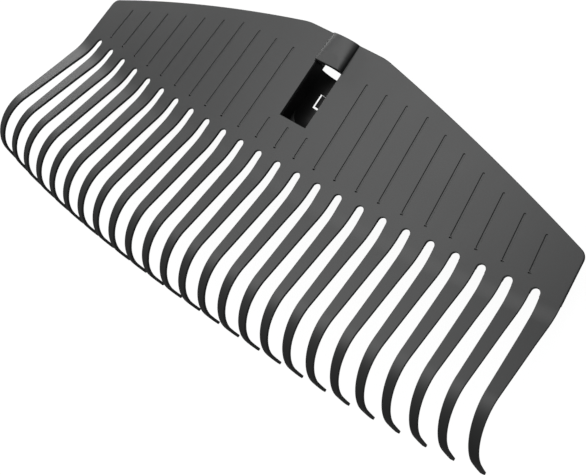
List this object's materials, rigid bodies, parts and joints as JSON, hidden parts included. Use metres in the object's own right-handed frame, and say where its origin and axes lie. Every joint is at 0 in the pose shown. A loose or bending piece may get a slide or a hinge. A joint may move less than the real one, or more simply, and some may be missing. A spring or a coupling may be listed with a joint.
{
  "type": "leaf rake head",
  "caption": "Wide moulded plastic leaf rake head with flat sprung tines hooked at their tips, a bowed fan plate and an open handle socket with a snap tongue.",
  "frame": {"origin": "centre of the socket's mouth, on the handle axis", "axes": "+X across the head to the right, +Y along the handle away from the tines, +Z out of the front face"},
  "size_m": [0.6274, 0.2768, 0.0765],
  "materials": {
    "plate_plastic": "fine moulded texture, dark grey",
    "tine_plastic": "fine moulded texture, slightly polished by use",
    "socket_plastic": "plain moulded inside face, dark grey"
  },
  "bodies": {
    "head": {"head_plate": "plate_plastic", "front_bridge": "plate_plastic", "rear_socket": "socket_plastic", "socket_end": "socket_plastic", "left_ribs": "plate_plastic", "right_ribs": "plate_plastic", "middle_ribs": "plate_plastic"},
    "latch": {"latch_tongue": "socket_plastic"},
    "tine_01": {"tine_01": "tine_plastic"},
    "tine_02": {"tine_02": "tine_plastic"},
    "tine_03": {"tine_03": "tine_plastic"},
    "tine_04": {"tine_04": "tine_plastic"},
    "tine_05": {"tine_05": "tine_plastic"},
    "tine_06": {"tine_06": "tine_plastic"},
    "tine_07": {"tine_07": "tine_plastic"},
    "tine_08": {"tine_08": "tine_plastic"},
    "tine_09": {"tine_09": "tine_plastic"},
    "tine_10": {"tine_10": "tine_plastic"},
    "tine_11": {"tine_11": "tine_plastic"},
    "tine_12": {"tine_12": "tine_plastic"},
    "tine_13": {"tine_13": "tine_plastic"},
    "tine_14": {"tine_14": "tine_plastic"},
    "tine_15": {"tine_15": "tine_plastic"},
    "tine_16": {"tine_16": "tine_plastic"},
    "tine_17": {"tine_17": "tine_plastic"},
    "tine_18": {"tine_18": "tine_plastic"},
    "tine_19": {"tine_19": "tine_plastic"},
    "tine_20": {"tine_20": "tine_plastic"},
    "tine_21": {"tine_21": "tine_plastic"},
    "tine_22": {"tine_22": "tine_plastic"},
    "tine_23": {"tine_23": "tine_plastic"},
    "tine_24": {"tine_24": "tine_plastic"},
    "tine_25": {"tine_25": "tine_plastic"}
  },
  "joints": [
    {"name": "tine_01_flex", "type": "hinge", "parent": "head", "child": "tine_01", "pos_m": [-0.29047, -0.11346, -0.01379], "axis": [0.9716, -0.1388, 0.1918], "range_deg": [-12, 12], "stiffness_Nm_per_rad": 1.5},
    {"name": "tine_02_flex", "type": "hinge", "parent": "head", "child": "tine_02", "pos_m": [-0.26499, -0.11678, -0.00899], "axis": [0.9767, -0.1235, 0.1753], "range_deg": [-12, 12], "stiffness_Nm_per_rad": 1.5},
    {"name": "tine_03_flex", "type": "hinge", "parent": "head", "child": "tine_03", "pos_m": [-0.24087, -0.1198, -0.00487], "axis": [0.9811, -0.1092, 0.1596], "range_deg": [-12, 12], "stiffness_Nm_per_rad": 1.5},
    {"name": "tine_04_flex", "type": "hinge", "parent": "head", "child": "tine_04", "pos_m": [-0.21677, -0.12254, -0.00115], "axis": [0.985, -0.0957, 0.1438], "range_deg": [-12, 12], "stiffness_Nm_per_rad": 1.5},
    {"name": "tine_05_flex", "type": "hinge", "parent": "head", "child": "tine_05", "pos_m": [-0.19266, -0.12498, 0.00218], "axis": [0.9883, -0.0831, 0.128], "range_deg": [-12, 12], "stiffness_Nm_per_rad": 1.5},
    {"name": "tine_06_flex", "type": "hinge", "parent": "head", "child": "tine_06", "pos_m": [-0.16857, -0.12714, 0.0051], "axis": [0.9911, -0.0711, 0.1121], "range_deg": [-12, 12], "stiffness_Nm_per_rad": 1.5},
    {"name": "tine_07_flex", "type": "hinge", "parent": "head", "child": "tine_07", "pos_m": [-0.14448, -0.12902, 0.00763], "axis": [0.9936, -0.0598, 0.0961], "range_deg": [-12, 12], "stiffness_Nm_per_rad": 1.5},
    {"name": "tine_08_flex", "type": "hinge", "parent": "head", "child": "tine_08", "pos_m": [-0.12039, -0.1306, 0.00976], "axis": [0.9956, -0.049, 0.0802], "range_deg": [-12, 12], "stiffness_Nm_per_rad": 1.5},
    {"name": "tine_09_flex", "type": "hinge", "parent": "head", "child": "tine_09", "pos_m": [-0.09631, -0.1319, 0.0115], "axis": [0.9972, -0.0387, 0.0642], "range_deg": [-12, 12], "stiffness_Nm_per_rad": 1.5},
    {"name": "tine_10_flex", "type": "hinge", "parent": "head", "child": "tine_10", "pos_m": [-0.07223, -0.1329, 0.01286], "axis": [0.9984, -0.0287, 0.0481], "range_deg": [-12, 12], "stiffness_Nm_per_rad": 1.5},
    {"name": "tine_11_flex", "type": "hinge", "parent": "head", "child": "tine_11", "pos_m": [-0.04815, -0.13362, 0.01383], "axis": [0.9993, -0.019, 0.0321], "range_deg": [-12, 12], "stiffness_Nm_per_rad": 1.5},
    {"name": "tine_12_flex", "type": "hinge", "parent": "head", "child": "tine_12", "pos_m": [-0.02408, -0.13406, 0.01441], "axis": [0.9998, -0.0094, 0.016], "range_deg": [-12, 12], "stiffness_Nm_per_rad": 1.5},
    {"name": "tine_13_flex", "type": "hinge", "parent": "head", "child": "tine_13", "pos_m": [0, -0.1342, 0.0146], "axis": [1, 0, 0], "range_deg": [-12, 12], "stiffness_Nm_per_rad": 1.5},
    {"name": "tine_14_flex", "type": "hinge", "parent": "head", "child": "tine_14", "pos_m": [0.02408, -0.13406, 0.01441], "axis": [0.9998, 0.0094, -0.016], "range_deg": [-12, 12], "stiffness_Nm_per_rad": 1.5},
    {"name": "tine_15_flex", "type": "hinge", "parent": "head", "child": "tine_15", "pos_m": [0.04815, -0.13362, 0.01383], "axis": [0.9993, 0.019, -0.0321], "range_deg": [-12, 12], "stiffness_Nm_per_rad": 1.5},
    {"name": "tine_16_flex", "type": "hinge", "parent": "head", "child": "tine_16", "pos_m": [0.07223, -0.1329, 0.01286], "axis": [0.9984, 0.0287, -0.0481], "range_deg": [-12, 12], "stiffness_Nm_per_rad": 1.5},
    {"name": "tine_17_flex", "type": "hinge", "parent": "head", "child": "tine_17", "pos_m": [0.09631, -0.1319, 0.0115], "axis": [0.9972, 0.0387, -0.0642], "range_deg": [-12, 12], "stiffness_Nm_per_rad": 1.5},
    {"name": "tine_18_flex", "type": "hinge", "parent": "head", "child": "tine_18", "pos_m": [0.12039, -0.1306, 0.00976], "axis": [0.9956, 0.049, -0.0802], "range_deg": [-12, 12], "stiffness_Nm_per_rad": 1.5},
    {"name": "tine_19_flex", "type": "hinge", "parent": "head", "child": "tine_19", "pos_m": [0.14448, -0.12902, 0.00763], "axis": [0.9936, 0.0598, -0.0961], "range_deg": [-12, 12], "stiffness_Nm_per_rad": 1.5},
    {"name": "tine_20_flex", "type": "hinge", "parent": "head", "child": "tine_20", "pos_m": [0.16857, -0.12714, 0.0051], "axis": [0.9911, 0.0711, -0.1121], "range_deg": [-12, 12], "stiffness_Nm_per_rad": 1.5},
    {"name": "tine_21_flex", "type": "hinge", "parent": "head", "child": "tine_21", "pos_m": [0.19266, -0.12498, 0.00218], "axis": [0.9883, 0.0831, -0.128], "range_deg": [-12, 12], "stiffness_Nm_per_rad": 1.5},
    {"name": "tine_22_flex", "type": "hinge", "parent": "head", "child": "tine_22", "pos_m": [0.21677, -0.12254, -0.00115], "axis": [0.985, 0.0957, -0.1438], "range_deg": [-12, 12], "stiffness_Nm_per_rad": 1.5},
    {"name": "tine_23_flex", "type": "hinge", "parent": "head", "child": "tine_23", "pos_m": [0.24087, -0.1198, -0.00487], "axis": [0.9811, 0.1092, -0.1596], "range_deg": [-12, 12], "stiffness_Nm_per_rad": 1.5},
    {"name": "tine_24_flex", "type": "hinge", "parent": "head", "child": "tine_24", "pos_m": [0.26499, -0.11678, -0.00899], "axis": [0.9767, 0.1235, -0.1753], "range_deg": [-12, 12], "stiffness_Nm_per_rad": 1.5},
    {"name": "tine_25_flex", "type": "hinge", "parent": "head", "child": "tine_25", "pos_m": [0.29047, -0.11346, -0.01379], "axis": [0.9716, 0.1388, -0.1918], "range_deg": [-12, 12], "stiffness_Nm_per_rad": 1.5},
    {"name": "latch_flex", "type": "hinge", "parent": "head", "child": "latch", "pos_m": [0, -0.0498, -0.017], "axis": [1, 0, 0], "range_deg": [0, 8], "stiffness_Nm_per_rad": 0.4}
  ]
}
